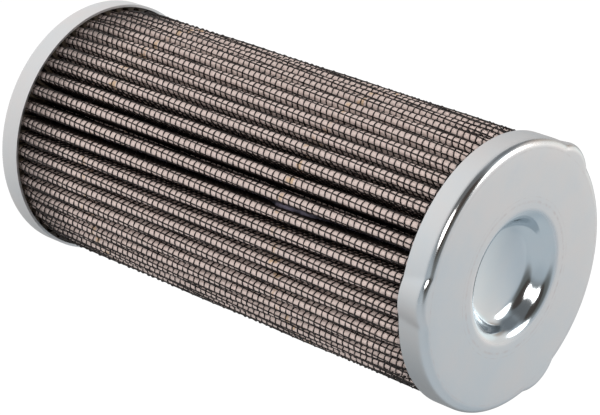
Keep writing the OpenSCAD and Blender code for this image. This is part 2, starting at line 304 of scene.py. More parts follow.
def sheet_stations(crest_steps, upper_steps, lower_steps, valley_steps):
    """Lengths round the whole sheet, close together where a fold is round or in view."""
    leg_end = CREST_HALF + LEG_LENGTH
    half = np.concatenate([
        np.linspace(0, CREST_HALF, crest_steps, endpoint=False),
        np.linspace(CREST_HALF, CREST_HALF + UPPER_LENGTH, upper_steps, endpoint=False),
        np.linspace(CREST_HALF + UPPER_LENGTH, leg_end, lower_steps, endpoint=False),
        np.linspace(leg_end, PLEAT_LENGTH / 2, valley_steps, endpoint=False),
    ])
    pleat = np.concatenate([half, -half[1:], [-PLEAT_LENGTH / 2]])
    first = SEAM_PLEAT + 1 - PLEATS
    return np.concatenate([np.sort(pleat) + (first + i) * PLEAT_LENGTH for i in range(PLEATS)])


def folded_web(name, stations, rows, depth, thickness):
    """One layer of the pack at this depth in it: a flat sheet with a map of itself, then folded."""
    around = np.append(stations, stations[0] + SHEET_LENGTH)
    bm = bmesh.new()
    bmesh.ops.create_grid(bm, x_segments=len(around) - 1, y_segments=rows, size=0.5)
    flat_map = bm.loops.layers.uv.new("flat_sheet")
    verts = list(bm.verts)
    column = [round((v.co.x + 0.5) * (len(around) - 1)) for v in verts]
    height = [PACK_BOTTOM + (v.co.y + 0.5) * (PACK_TOP - PACK_BOTTOM) for v in verts]
    points = folded(around[column], depth, np.array(height))
    for vert, i, z, point in zip(verts, column, height, points):
        for loop in vert.link_loops:
            loop[flat_map].uv = (around[i] * 1000, z * 1000)
        vert.co = point
    bmesh.ops.remove_doubles(bm, verts=bm.verts, dist=1e-6)
    bmesh.ops.recalc_face_normals(bm, faces=bm.faces)
    for face in bm.faces:
        face.smooth = True
    mesh = bpy.data.meshes.new(name)
    bm.to_mesh(mesh)
    bm.free()
    web = bpy.data.objects.new(name, mesh)
    bpy.context.scene.collection.objects.link(web)
    wall = web.modifiers.new("thickness", "SOLIDIFY")
    wall.thickness = thickness
    wall.offset = -1.0
    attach(web, "root")
    return web


def mottling(place, scale, detail):
    """Cloudy mottling of the material being made, at this place on it."""
    mottle = nodes.new("ShaderNodeTexNoise")
    mottle.inputs["Scale"].default_value = scale
    mottle.inputs["Detail"].default_value = detail
    links.new(place, mottle.inputs["Vector"])
    return mottle


def two_tones(value, low_tone, high_tone, low_at=0.0, high_at=1.0):
    """Colour that passes from one tone to the other as this value rises."""
    tone = nodes.new("ShaderNodeValToRGB")
    tone.color_ramp.elements[0].position = low_at
    tone.color_ramp.elements[0].color = (*low_tone, 1)
    tone.color_ramp.elements[1].position = high_at
    tone.color_ramp.elements[1].color = (*high_tone, 1)
    links.new(value, tone.inputs["Fac"])
    return tone


# Fibre grain, used by every fleece and glass web: short fibres that cross at two angles. It is
# laid on the flat sheet, so that it follows the folds.
fibre_group = bpy.data.node_groups.new("fibre_grain", "ShaderNodeTree")
fibre_group.interface.new_socket("Scale", in_out="INPUT", socket_type="NodeSocketFloat")
fibre_group.interface.new_socket("Grain", in_out="OUTPUT", socket_type="NodeSocketFloat")
nodes, links = fibre_group.nodes, fibre_group.links
group_in, group_out = nodes.new("NodeGroupInput"), nodes.new("NodeGroupOutput")
flat_place = nodes.new("ShaderNodeUVMap")
flat_place.uv_map = "flat_sheet"
both = nodes.new("ShaderNodeMath")
both.operation = "MAXIMUM"
for slot, turn in enumerate((0.5, -0.6)):
    turned = nodes.new("ShaderNodeMapping")
    turned.inputs["Rotation"].default_value = (0, 0, turn)
    turned.inputs["Scale"].default_value = (1, 5, 1)
    links.new(flat_place.outputs["UV"], turned.inputs["Vector"])
    fibres = nodes.new("ShaderNodeTexNoise")
    fibres.inputs["Detail"].default_value = 2.0
    links.new(turned.outputs["Vector"], fibres.inputs["Vector"])
    links.new(group_in.outputs["Scale"], fibres.inputs["Scale"])
    links.new(fibres.outputs["Fac"], both.inputs[slot])
links.new(both.outputs[0], group_out.inputs["Grain"])


def web_cloth(name, pale, deep, scale, roughness):
    """Material of a fibre web: two tones set by the grain, and a fine bump."""
    material = bpy.data.materials.new(name)
    material.use_nodes = True
    nodes, links = material.node_tree.nodes, material.node_tree.links
    bsdf = nodes["Principled BSDF"]
    bsdf.inputs["Roughness"].default_value = roughness
    bsdf.inputs["Specular IOR Level"].default_value = 0.2
    grain = nodes.new("ShaderNodeGroup")
    grain.node_tree = fibre_group
    grain.inputs["Scale"].default_value = scale
    tone = nodes.new("ShaderNodeValToRGB")
    tone.color_ramp.elements[0].position = 0.35
    tone.color_ramp.elements[0].color = (*deep, 1)
    tone.color_ramp.elements[1].position = 0.75
    tone.color_ramp.elements[1].color = (*pale, 1)
    links.new(grain.outputs["Grain"], tone.inputs["Fac"])
    links.new(tone.outputs["Color"], bsdf.inputs["Base Color"])
    bump = nodes.new("ShaderNodeBump")
    bump.inputs["Distance"].default_value = 0.00003
    bump.inputs["Strength"].default_value = 0.6
    links.new(grain.outputs["Grain"], bump.inputs["Height"])
    links.new(bump.outputs["Normal"], bsdf.inputs["Normal"])
    return material


# Downstream mesh: the finer woven wire on the clean side, which holds the glass off the core.
# It is galvanised, and its square weave is a bump on the folded sheet.
inner_stations = sheet_stations(crest_steps=3, upper_steps=1, lower_steps=1, valley_steps=1)
INNER_ROWS = 4
support_web = folded_web("downstream_wire_web", inner_stations, INNER_ROWS, depth=0.00072, thickness=0.00015)
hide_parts("downstream_mesh")
support_wire = bpy.data.materials.new("galvanised_weave")
support_wire.use_nodes = True
support_web.data.materials.append(support_wire)
nodes, links = support_wire.node_tree.nodes, support_wire.node_tree.links
bsdf = nodes["Principled BSDF"]
bsdf.inputs["Metallic"].default_value = 0.9
bsdf.inputs["Roughness"].default_value = 0.42
flat_place = nodes.new("ShaderNodeUVMap")
flat_place.uv_map = "flat_sheet"
weave = nodes.new("ShaderNodeMath")
weave.operation = "MAXIMUM"
for slot, direction in enumerate(("X", "Y")):
    wave = nodes.new("ShaderNodeTexWave")
    wave.bands_direction = direction
    wave.inputs["Scale"].default_value = 0.45
    links.new(flat_place.outputs["UV"], wave.inputs["Vector"])
    links.new(wave.outputs["Fac"], weave.inputs[slot])
weave_tone = two_tones(weave.outputs[0], (0.03, 0.03, 0.03), (0.42, 0.42, 0.41))
links.new(weave_tone.outputs["Color"], bsdf.inputs["Base Color"])
weave_bump = nodes.new("ShaderNodeBump")
weave_bump.inputs["Distance"].default_value = 0.00008
links.new(weave.outputs[0], weave_bump.inputs["Height"])
links.new(weave_bump.outputs["Normal"], bsdf.inputs["Normal"])

# Drainage fleece: thin polyester web between the support wire and the glass, folded in with them.
# The clean oil runs along it to the core.
drainage_web = folded_web("drainage_web", inner_stations, INNER_ROWS, depth=0.00064, thickness=0.00008)
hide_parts("drainage_fleece")
drainage_cloth = web_cloth("drainage_cloth", (0.72, 0.70, 0.68), (0.5, 0.48, 0.46), scale=3.0, roughness=0.9)
drainage_web.data.materials.append(drainage_cloth)

# Glass layers: the two webs of glass fibre that do the filtering, the finer one downstream. They
# are folded in with the other layers.
fine_web = folded_web("fine_glass_web", inner_stations, INNER_ROWS, depth=0.00052, thickness=0.00012)
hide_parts("fine_glass_layer")
fine_glass = web_cloth("fine_glass", (0.86, 0.85, 0.82), (0.7, 0.68, 0.66), scale=5.0, roughness=0.8)
fine_web.data.materials.append(fine_glass)
coarse_web = folded_web("coarse_glass_web", inner_stations, INNER_ROWS, depth=0.00040, thickness=0.00012)
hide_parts("coarse_glass_layer")
coarse_glass = web_cloth("coarse_glass", (0.84, 0.8, 0.76), (0.62, 0.58, 0.55), scale=2.5, roughness=0.85)
coarse_web.data.materials.append(coarse_glass)

# Upstream fleece: the soft off-white polyester web just under the wire. It swells a little
# through the mesh, and two bands of adhesive dots stain it.
WIRE_PITCH = 0.00141
LINE_SKEW = math.tan(math.radians(3.0))
RING_BOTTOM = PACK_BOTTOM + 0.0008
line_count = 2 * round(SHEET_LENGTH / WIRE_PITCH / 2)
LINE_PITCH = SHEET_LENGTH / line_count
STAIN_HEIGHTS = (0.0230, 0.0735)
STAIN_HALF = 0.0009
STAIN_STRENGTH = 0.75
STAIN_COLOUR = (0.72, 0.50, 0.30, 1)
FLEECE_ROWS = 6
fleece_stations = sheet_stations(crest_steps=6, upper_steps=3, lower_steps=2, valley_steps=1)
fleece_web = folded_web("fleece_web", fleece_stations, FLEECE_ROWS, depth=0.00031, thickness=0.00009)
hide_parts("upstream_fleece")
FLEECE_PALE = (0.93, 0.79, 0.74)
FLEECE_DEEP = (0.60, 0.485, 0.445)
fleece_cloth = web_cloth("fleece_cloth", FLEECE_PALE, FLEECE_DEEP, scale=4.0, roughness=0.9)
fleece_web.data.materials.append(fleece_cloth)
nodes, links = fleece_cloth.node_tree.nodes, fleece_cloth.node_tree.links
flat_place = nodes.new("ShaderNodeUVMap")
flat_place.uv_map = "flat_sheet"
flat_axes = nodes.new("ShaderNodeSeparateXYZ")
links.new(flat_place.outputs["UV"], flat_axes.inputs[0])
square_to_line = nodes.new("ShaderNodeMath")
square_to_line.operation = "MULTIPLY_ADD"
square_to_line.inputs[1].default_value = -LINE_SKEW
links.new(flat_axes.outputs["Y"], square_to_line.inputs[0])
links.new(flat_axes.outputs["X"], square_to_line.inputs[2])
pillow = nodes.new("ShaderNodeMath")
pillow.operation = "MULTIPLY"
swell_lines = (
    (square_to_line.outputs[0], SHEET_START, LINE_PITCH),
    (flat_axes.outputs["Y"], RING_BOTTOM, WIRE_PITCH),
)
for slot, (source, start, pitch) in enumerate(swell_lines):
    phase = nodes.new("ShaderNodeMath")
    phase.operation = "MULTIPLY_ADD"
    phase.inputs[1].default_value = math.pi / (pitch * 1000)
    phase.inputs[2].default_value = -math.pi * start / pitch
    links.new(source, phase.inputs[0])
    sine = nodes.new("ShaderNodeMath")
    sine.operation = "SINE"
    links.new(phase.outputs[0], sine.inputs[0])
    swell = nodes.new("ShaderNodeMath")
    swell.operation = "ABSOLUTE"
    links.new(sine.outputs[0], swell.inputs[0])
    links.new(swell.outputs[0], pillow.inputs[slot])
stain_noise = mottling(flat_place.outputs["UV"], scale=0.45, detail=2.0)
stain_patch = nodes.new("ShaderNodeMapRange")
stain_patch.inputs["From Min"].default_value = 0.50
stain_patch.inputs["From Max"].default_value = 0.62
stain_patch.inputs["To Max"].default_value = STAIN_STRENGTH
links.new(stain_noise.outputs["Fac"], stain_patch.inputs["Value"])
stained = nodes["Color Ramp"].outputs["Color"]
for stain_height in STAIN_HEIGHTS:
    stain_gap = nodes.new("ShaderNodeMath")
    stain_gap.operation = "COMPARE"
    stain_gap.inputs[1].default_value = stain_height * 1000
    stain_gap.inputs[2].default_value = STAIN_HALF * 1000
    links.new(flat_axes.outputs["Y"], stain_gap.inputs[0])
    stain_mask = nodes.new("ShaderNodeMath")
    stain_mask.operation = "MULTIPLY"
    links.new(stain_gap.outputs[0], stain_mask.inputs[0])
    links.new(stain_patch.outputs["Result"], stain_mask.inputs[1])
    stain = nodes.new("ShaderNodeMix")
    stain.data_type = "RGBA"
    stain.inputs[7].default_value = STAIN_COLOUR
    links.new(stain_mask.outputs[0], stain.inputs[0])
    links.new(stained, stain.inputs[6])
    stained = stain.outputs[2]
links.new(stained, nodes["Principled BSDF"].inputs["Base Color"])
pillow_bump = nodes.new("ShaderNodeBump")
pillow_bump.inputs["Distance"].default_value = 0.00012
pillow_bump.inputs["Strength"].default_value = 0.7
links.new(pillow.outputs[0], pillow_bump.inputs["Height"])
links.new(pillow_bump.outputs["Normal"], nodes["Bump"].inputs["Normal"])

# Upstream mesh: epoxy-coated steel wire, woven square. The ring wires go over and under the line
# wires, which lie a few degrees off the pleats.
WIRE_D = 0.00030
RING_RISE = 0.00009
LINE_SINK = 0.00001
WIRE_SIDES = 3


def swept_wires(name, paths, closed):
    """One mesh of three-sided wires along these paths."""
    section = bpy.data.curves.new("wire_section", "CURVE")
    corners = section.splines.new("POLY")
    corners.points.add(WIRE_SIDES - 1)
    for i in range(WIRE_SIDES):
        turn = 2 * math.pi * i / WIRE_SIDES
        corners.points[i].co = (WIRE_D / 2 * math.cos(turn), WIRE_D / 2 * math.sin(turn), 0, 1)
    corners.use_cyclic_u = True
    section_holder = bpy.data.objects.new("wire_section", section)
    line = bpy.data.curves.new(name, "CURVE")
    line.dimensions = "3D"
    line.twist_mode = "MINIMUM"
    line.bevel_mode = "OBJECT"
    line.bevel_object = section_holder
    line.use_fill_caps = not closed
    for path in paths:
        spline = line.splines.new("POLY")
        spline.points.add(len(path) - 1)
        spline.points.foreach_set("co", np.column_stack([path, np.ones(len(path))]).ravel())
        spline.use_cyclic_u = closed
    holder = bpy.data.objects.new(name + "_line", line)
    bpy.context.scene.collection.objects.link(holder)
    bpy.context.view_layer.update()
    mesh = bpy.data.meshes.new_from_object(holder.evaluated_get(bpy.context.evaluated_depsgraph_get()))
    bpy.data.objects.remove(holder)
    bpy.data.objects.remove(section_holder)
    mesh.name = name
    mesh.materials.clear()
    mesh.polygons.foreach_set("use_smooth", [True] * len(mesh.polygons))
    wires = bpy.data.objects.new(name, mesh)
    bpy.context.scene.collection.objects.link(wires)
    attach(wires, "root")
    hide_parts("upstream_mesh")
    return wires


wire_coat = bpy.data.materials.new("epoxy_wire")
wire_coat.use_nodes = True
nodes, links = wire_coat.node_tree.nodes, wire_coat.node_tree.links
bsdf = nodes["Principled BSDF"]
bsdf.inputs["Roughness"].default_value = 0.5
wire_place = nodes.new("ShaderNodeTexCoord")
coat_wear = mottling(wire_place.outputs["Object"], scale=1800, detail=3.0)
coat_tone = two_tones(coat_wear.outputs["Fac"], (0.006, 0.0045, 0.004), (0.022, 0.013, 0.011))
links.new(coat_tone.outputs["Color"], bsdf.inputs["Base Color"])

ring_stations = sheet_stations(crest_steps=4, upper_steps=5, lower_steps=2, valley_steps=1)
ring_count = int((PACK_TOP - RING_BOTTOM) / WIRE_PITCH)
ring_paths = []
for j in range(ring_count):
    z = RING_BOTTOM + j * WIRE_PITCH
    weave_phase = math.pi * ((ring_stations - SHEET_START - z * LINE_SKEW) / LINE_PITCH + j)
    ring_paths.append(folded(ring_stations, MESH_DEPTH - RING_RISE * np.cos(weave_phase), z))
RING_GROUPS = 4
group_size = math.ceil(ring_count / RING_GROUPS)
for g in range(RING_GROUPS):
    group_paths = ring_paths[g * group_size:(g + 1) * group_size]
    ring_wires = swept_wires(f"ring_wires_{g + 1}", group_paths, closed=True)
    ring_wires.data.materials.append(wire_coat)

LINE_STEPS = 16
line_heights = np.concatenate([
    np.linspace(PACK_BOTTOM, PINCH_LOW, 2, endpoint=False),
    np.linspace(PINCH_LOW, PINCH_LOW + PINCH_FADE, 3, endpoint=False),
    np.linspace(PINCH_LOW + PINCH_FADE, PINCH_HIGH - PINCH_FADE, LINE_STEPS, endpoint=False),
    np.linspace(PINCH_HIGH - PINCH_FADE, PACK_TOP, 4),
])
line_paths = [
    folded(SHEET_START + k * LINE_PITCH + line_heights * LINE_SKEW, MESH_DEPTH + LINE_SINK, line_heights)
    for k in range(line_count)
]
line_wires = swept_wires("line_wires", line_paths, closed=False)
line_wires.data.materials.append(wire_coat)

# Side seam: the two ends of the pack meet in one valley, glued with a bead of bluish resin that
# has smeared up the wire for a stretch near the closed cap.
SEAM_FILL = 0.0030
SMEAR_FILL = 0.0072
SMEAR_MIDDLE, SMEAR_HALF = 0.0735, 0.0068
# The bead's edge wanders, as (how far, how fast, start)
SEAM_WOBBLES = ((0.0003, 900, 0), (0.0002, 2300, 1))
BEAD_COLUMNS = 20
BEAD_ROWS = 90
BEAD_DEPTH = 0.0001
bead_bm = bmesh.new()
bmesh.ops.create_grid(bead_bm, x_segments=BEAD_COLUMNS, y_segments=BEAD_ROWS, size=0.5)
for vert in bead_bm.verts:
    z = PACK_BOTTOM + (vert.co.y + 0.5) * (PACK_TOP - PACK_BOTTOM)
    smear = max(1 - ((z - SMEAR_MIDDLE) / SMEAR_HALF) ** 2, 0)
    wobble = sum(size * math.sin(rate * z + start) for size, rate, start in SEAM_WOBBLES)
    fill = SEAM_FILL + wobble + (SMEAR_FILL - SEAM_FILL) * smear ** 0.5
    column = round((vert.co.x + 0.5) * BEAD_COLUMNS) % BEAD_COLUMNS
    vert.co = folded(SHEET_START + fill * (2 * column / (BEAD_COLUMNS - 1) - 1), BEAD_DEPTH, z)
bmesh.ops.remove_doubles(bead_bm, verts=bead_bm.verts, dist=1e-7)
bead_ends = [edge for edge in bead_bm.edges if edge.is_boundary]
for face in bead_bm.faces:
    face.smooth = True
bmesh.ops.holes_fill(bead_bm, edges=bead_ends)
bmesh.ops.recalc_face_normals(bead_bm, faces=bead_bm.faces)
bead_mesh = bpy.data.meshes.new("seam_bead")
bead_bm.to_mesh(bead_mesh)
bead_bm.free()
seam_bead = bpy.data.objects.new("seam_bead", bead_mesh)
bpy.context.scene.collection.objects.link(seam_bead)
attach(seam_bead, "root")
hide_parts("side_seam")
bead_resin = bpy.data.materials.new("seam_resin")
bead_resin.use_nodes = True
bead_mesh.materials.append(bead_resin)
nodes, links = bead_resin.node_tree.nodes, bead_resin.node_tree.links
bsdf = nodes["Principled BSDF"]
bsdf.inputs["Roughness"].default_value = 0.45
bead_place = nodes.new("ShaderNodeTexCoord")
bead_clouds = mottling(bead_place.outputs["Object"], scale=500, detail=3.0)
bead_tone = two_tones(bead_clouds.outputs["Fac"], (0.05, 0.05, 0.07), (0.22, 0.20, 0.27), 0.35, 0.7)
links.new(bead_tone.outputs["Color"], bsdf.inputs["Base Color"])
bead_bump = nodes.new("ShaderNodeBump")
bead_bump.inputs["Distance"].default_value = 0.0001
links.new(bead_clouds.outputs["Fac"], bead_bump.inputs["Height"])
links.new(bead_bump.outputs["Normal"], bsdf.inputs["Normal"])

# Zinc plate, used by both caps: a satin bright plate with cloudy tints, smooth where the draw has
# burnished it, bluer in the dish, with faint rings where the press tool rubbed the face.
RUB_RINGS = ((0.0143, 0.0004, 0.55), (0.0152, 0.00015, 0.4), (0.0242, 0.00025, 0.35))
plate_group = bpy.data.node_groups.new("zinc_plate", "ShaderNodeTree")
plate_group.interface.new_socket("Polish", in_out="INPUT", socket_type="NodeSocketFloat")
plate_group.interface.new_socket("Blue", in_out="INPUT", socket_type="NodeSocketFloat")
plate_group.interface.new_socket("Colour", in_out="OUTPUT", socket_type="NodeSocketColor")
plate_group.interface.new_socket("Roughness", in_out="OUTPUT", socket_type="NodeSocketFloat")
plate_group.interface.new_socket("Height", in_out="OUTPUT", socket_type="NodeSocketFloat")
nodes, links = plate_group.nodes, plate_group.links
group_in, group_out = nodes.new("NodeGroupInput"), nodes.new("NodeGroupOutput")
plate_place = nodes.new("ShaderNodeTexCoord")
clouds = mottling(plate_place.outputs["Object"], scale=110, detail=4.0)
clouds.inputs["Roughness"].default_value = 0.6
tint = two_tones(clouds.outputs["Fac"], (0.655, 0.68, 0.70), (0.72, 0.70, 0.695), 0.3, 0.7)
middle = tint.color_ramp.elements.new(0.5)
middle.color = (0.69, 0.695, 0.70, 1)
blued = nodes.new("ShaderNodeMix")
blued.data_type = "RGBA"
blued.blend_type = "MULTIPLY"
blued.inputs[7].default_value = (0.86, 0.93, 0.97, 1)
links.new(group_in.outputs["Blue"], blued.inputs[0])
links.new(tint.outputs["Color"], blued.inputs[6])
rub_place = nodes.new("ShaderNodeSeparateXYZ")
links.new(plate_place.outputs["Object"], rub_place.inputs[0])
across = nodes.new("ShaderNodeCombineXYZ")
links.new(rub_place.outputs["X"], across.inputs["X"])
links.new(rub_place.outputs["Y"], across.inputs["Y"])
rub_radius = nodes.new("ShaderNodeVectorMath")
rub_radius.operation = "LENGTH"
links.new(across.outputs[0], rub_radius.inputs[0])
rub_noise = mottling(plate_place.outputs["Object"], scale=700, detail=3.0)
rubbed = blued.outputs[2]
for ring_r, ring_half, strength in RUB_RINGS:
    off_ring = nodes.new("ShaderNodeMath")
    off_ring.operation = "SUBTRACT"
    off_ring.inputs[1].default_value = ring_r
    links.new(rub_radius.outputs["Value"], off_ring.inputs[0])
    ring_gap = nodes.new("ShaderNodeMath")
    ring_gap.operation = "ABSOLUTE"
    links.new(off_ring.outputs[0], ring_gap.inputs[0])
    on_ring = nodes.new("ShaderNodeMapRange")
    on_ring.interpolation_type = "SMOOTHSTEP"
    on_ring.inputs["From Min"].default_value = ring_half
    on_ring.inputs["From Max"].default_value = 0.0
    links.new(ring_gap.outputs[0], on_ring.inputs["Value"])
    patchy = nodes.new("ShaderNodeMapRange")
    patchy.inputs["From Min"].default_value = 0.40
    patchy.inputs["From Max"].default_value = 0.66
    patchy.inputs["To Max"].default_value = strength
    links.new(rub_noise.outputs["Fac"], patchy.inputs["Value"])
    worn = nodes.new("ShaderNodeMath")
    worn.operation = "MULTIPLY"
    links.new(on_ring.outputs["Result"], worn.inputs[0])
    links.new(patchy.outputs["Result"], worn.inputs[1])
    rub = nodes.new("ShaderNodeMix")
    rub.data_type = "RGBA"
    rub.inputs[7].default_value = (0.56, 0.51, 0.505, 1)
    links.new(worn.outputs[0], rub.inputs[0])
    links.new(rubbed, rub.inputs[6])
    rubbed = rub.outputs[2]
links.new(rubbed, group_out.inputs["Colour"])
satin = nodes.new("ShaderNodeMapRange")
satin.inputs["To Min"].default_value = 0.34
satin.inputs["To Max"].default_value = 0.50
links.new(clouds.outputs["Fac"], satin.inputs["Value"])
burnished = nodes.new("ShaderNodeMapRange")
burnished.inputs["To Max"].default_value = 0.13
links.new(group_in.outputs["Polish"], burnished.inputs["Value"])
links.new(satin.outputs["Result"], burnished.inputs["To Min"])
links.new(burnished.outputs["Result"], group_out.inputs["Roughness"])
grain = mottling(plate_place.outputs["Object"], scale=1500, detail=4.0)
unpolished = nodes.new("ShaderNodeMapRange")
unpolished.inputs["To Min"].default_value = 1.0
unpolished.inputs["To Max"].default_value = 0.0
links.new(group_in.outputs["Polish"], unpolished.inputs["Value"])
satin_grain = nodes.new("ShaderNodeMath")
satin_grain.operation = "MULTIPLY"
links.new(grain.outputs["Fac"], satin_grain.inputs[0])
links.new(unpolished.outputs["Result"], satin_grain.inputs[1])
links.new(satin_grain.outputs[0], group_out.inputs["Height"])


def zinc_finish(name):
    """Zinc plate that reads its polish and blue tint from the piece's own attributes."""
    material = bpy.data.materials.new(name)
    material.use_nodes = True
    nodes, links = material.node_tree.nodes, material.node_tree.links
    bsdf = nodes["Principled BSDF"]
    bsdf.inputs["Metallic"].default_value = 1.0
    polish = nodes.new("ShaderNodeAttribute")
    polish.attribute_name = "polish"
    plate = nodes.new("ShaderNodeGroup")
    plate.node_tree = plate_group
    links.new(polish.outputs["Fac"], plate.inputs["Polish"])
    blue = nodes.new("ShaderNodeAttribute")
    blue.attribute_name = "blue"
    links.new(blue.outputs["Fac"], plate.inputs["Blue"])
    links.new(plate.outputs["Colour"], bsdf.inputs["Base Color"])
    links.new(plate.outputs["Roughness"], bsdf.inputs["Roughness"])
    bump = nodes.new("ShaderNodeBump")
    bump.inputs["Distance"].default_value = 0.000006
    links.new(plate.outputs["Height"], bump.inputs["Height"])
    links.new(bump.outputs["Normal"], bsdf.inputs["Normal"])
    return material


def clamped(level):
    """This level, kept between 0 and 1."""
    return min(max(level, 0), 1)


def arc_points(centre, radius, start, end, steps):
    """Points (radius, height) along an arc, angles in degrees from +radius towards +height."""
    turns = np.radians(np.linspace(start, end, steps + 1))
    return [(centre[0] + radius * math.cos(t), centre[1] + radius * math.sin(t)) for t in turns]


def spun_sheet(outline, steps, outside):
    """A bmesh of this outline of (radius, height), turned round the axis, with its faces outside."""
    bm = bmesh.new()
    points = [bm.verts.new((r, 0, z)) for r, z in outline]
    rim = [bm.edges.new(pair) for pair in zip(points, points[1:])]
    bmesh.ops.spin(bm, geom=points + rim, cent=(0, 0, 0), axis=(0, 0, 1), dvec=(0, 0, 0),
                   angle=2 * math.pi, steps=steps, use_merge=True)
    bmesh.ops.remove_doubles(bm, verts=bm.verts, dist=1e-7)
    bmesh.ops.recalc_face_normals(bm, faces=bm.faces)
    bm.normal_update()
    end_face = max(bm.faces, key=lambda f: f.calc_center_median().dot(outside))
    if end_face.normal.dot(outside) < 0:
        bmesh.ops.reverse_faces(bm, faces=bm.faces)
    for face in bm.faces:
        face.smooth = True
    for edge in bm.edges:
        edge.smooth = not edge.is_boundary
    return bm


def drawn_cap(name, bm):
    """A cap of sheet metal from its outer surface."""
    mesh = bpy.data.meshes.new(name)
    bm.to_mesh(mesh)
    bm.free()
    cap = bpy.data.objects.new(name, mesh)
    bpy.context.scene.collection.objects.link(cap)
    wall = cap.modifiers.new("thickness", "SOLIDIFY")
    wall.thickness = SHEET_T
    wall.offset = -1.0
    wall.use_even_offset = True
    mesh.materials.append(zinc_finish(name + "_zinc"))
    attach(cap, "root")
    return cap


# Closed cap: deep-drawn from 0.5 mm sheet, with a dished middle, a burnished bend and three lobes
# pressed out of the skirt that centre the element in its housing.
cap_low, cap_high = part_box("closed_end_cap")
FACE_Z, SKIRT_RIM_Z = cap_high.z, cap_low.z
CAP_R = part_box("open_end_cap")[1].x
CAP_BEND_R = 0.0012
FACE_BEND_R = 0.0017
DISH_R = 0.0132
DISH_LIP_R = 0.003
DISH_WALL_ANGLE = 60
DISH_WALL_LENGTH = 0.0009
DISH_FOOT_R = 0.0036
DISH_FLOOR_ANGLE = 8
LOBE_R = 0.008
LOBE_TAPER = 0.0005
LOBE_BLEND = 0.00008
LOBE_CENTRE = cap_high.x - LOBE_R
LOBE_AZIMUTHS = (math.radians(2.3), math.radians(121.3), math.radians(236.3))
CAP_STEPS = 360
# The draw has burnished the bend on these slopes, most between the last lobe and the first
BURNISHED_SLOPES = (14, 74)
BURNISHED_FADE = 10
BURNISHED_LEAST = 0.25
WORN_MIDDLE = (LOBE_AZIMUTHS[2] + LOBE_AZIMUTHS[0] + 2 * math.pi) / 2
WORN_HALF = (LOBE_AZIMUTHS[0] + 2 * math.pi - LOBE_AZIMUTHS[2]) / 2
WORN_FADE = 0.04
WORN_SLANT = 1.1
WORN_LEAST = 0.35
DISH_POLISH_FADE = 0.0012
# The plate is bluer in the dish, and half as much on the side of the face towards +Y
BLUE_SIDE = (0.5, 0.85)
BLUE_START = 0.3
BLUE_ON_FACE = 0.5
# The draw pulls the face outwards behind each lobe, from this radius on
LOBE_FROM_R = 0.8 * CAP_R
wall_slope, floor_slope = math.radians(DISH_WALL_ANGLE), math.radians(DISH_FLOOR_ANGLE)
wall_across = Vector((math.sin(wall_slope), -math.cos(wall_slope)))
wall_along = Vector((math.cos(wall_slope), math.sin(wall_slope)))
floor_across = Vector((math.sin(floor_slope), -math.cos(floor_slope)))
lip_centre = Vector((DISH_R, FACE_Z - DISH_LIP_R))
foot_centre = lip_centre - wall_across * (DISH_LIP_R + DISH_FOOT_R) - wall_along * DISH_WALL_LENGTH
floor_edge = foot_centre + floor_across * DISH_FOOT_R
floor_radius = floor_edge.x / math.sin(floor_slope)
floor_centre = floor_edge - floor_across * floor_radius
bend_centre = Vector((CAP_R - FACE_BEND_R, FACE_Z - FACE_BEND_R))
cap_outline = (
    arc_points(floor_centre, floor_radius, -90, -90 + DISH_FLOOR_ANGLE, steps=7)
    + arc_points(foot_centre, DISH_FOOT_R, -90 + DISH_FLOOR_ANGLE, -90 + DISH_WALL_ANGLE, steps=12)[1:]
    + arc_points(lip_centre, DISH_LIP_R, 90 + DISH_WALL_ANGLE, 90, steps=11)
    + [(r, FACE_Z) for r in np.linspace(DISH_R, bend_centre.x, 5)[1:-1]]
    + arc_points(bend_centre, FACE_BEND_R, 90, 0, steps=12)
    + [(CAP_R, z) for z in np.linspace(bend_centre.y, SKIRT_RIM_Z, 4)[1:]]
)
cap_bm = spun_sheet(cap_outline, CAP_STEPS, Vector((0, 0, 1)))
polish_layer = cap_bm.verts.layers.float.new("polish")
blue_layer = cap_bm.verts.layers.float.new("blue")
for vert in cap_bm.verts:
    radius = math.hypot(vert.co.x, vert.co.y)
    azimuth = math.atan2(vert.co.y, vert.co.x)
    slope = math.degrees(math.asin(clamped((radius - bend_centre.x) / FACE_BEND_R)))
    on_bend = clamped((slope - BURNISHED_SLOPES[0]) / BURNISHED_FADE)
    on_bend *= clamped((BURNISHED_SLOPES[1] - slope) / BURNISHED_FADE)
    round_bend = math.remainder(azimuth - WORN_MIDDLE, 2 * math.pi)
    worn = clamped((WORN_HALF - abs(round_bend)) / WORN_FADE)
    worn *= min(max(WORN_SLANT + WORN_SLANT * round_bend, WORN_LEAST), 1)
    in_dish = clamped((DISH_R - radius) / DISH_POLISH_FADE)
    vert[polish_layer] = max(on_bend * (BURNISHED_LEAST + (1 - BURNISHED_LEAST) * worn), in_dish)
    low_side = (BLUE_SIDE[0] * vert.co.x + BLUE_SIDE[1] * vert.co.y) / CAP_R
    vert[blue_layer] = max(in_dish, BLUE_ON_FACE * clamped(low_side + BLUE_START))
    if radius < DISH_R:
        continue
    off = min((math.remainder(azimuth - lobe, 2 * math.pi) for lobe in LOBE_AZIMUTHS), key=abs)
    back = LOBE_R - LOBE_TAPER * (FACE_Z - vert.co.z) / (FACE_Z - SKIRT_RIM_Z)
    reach = back ** 2 - (LOBE_CENTRE * math.sin(off)) ** 2
    if reach <= 0:
        continue
    out = LOBE_CENTRE * math.cos(off) + math.sqrt(reach) - CAP_R
    lift = (out + math.sqrt(out ** 2 + LOBE_BLEND ** 2)) / 2
    share = clamped((radius - LOBE_FROM_R) / (bend_centre.x - LOBE_FROM_R))
    vert.co.x += lift * share * math.cos(azimuth)
    vert.co.y += lift * share * math.sin(azimuth)
closed_cap = drawn_cap("closed_cap", cap_bm)
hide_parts("closed_end_cap")

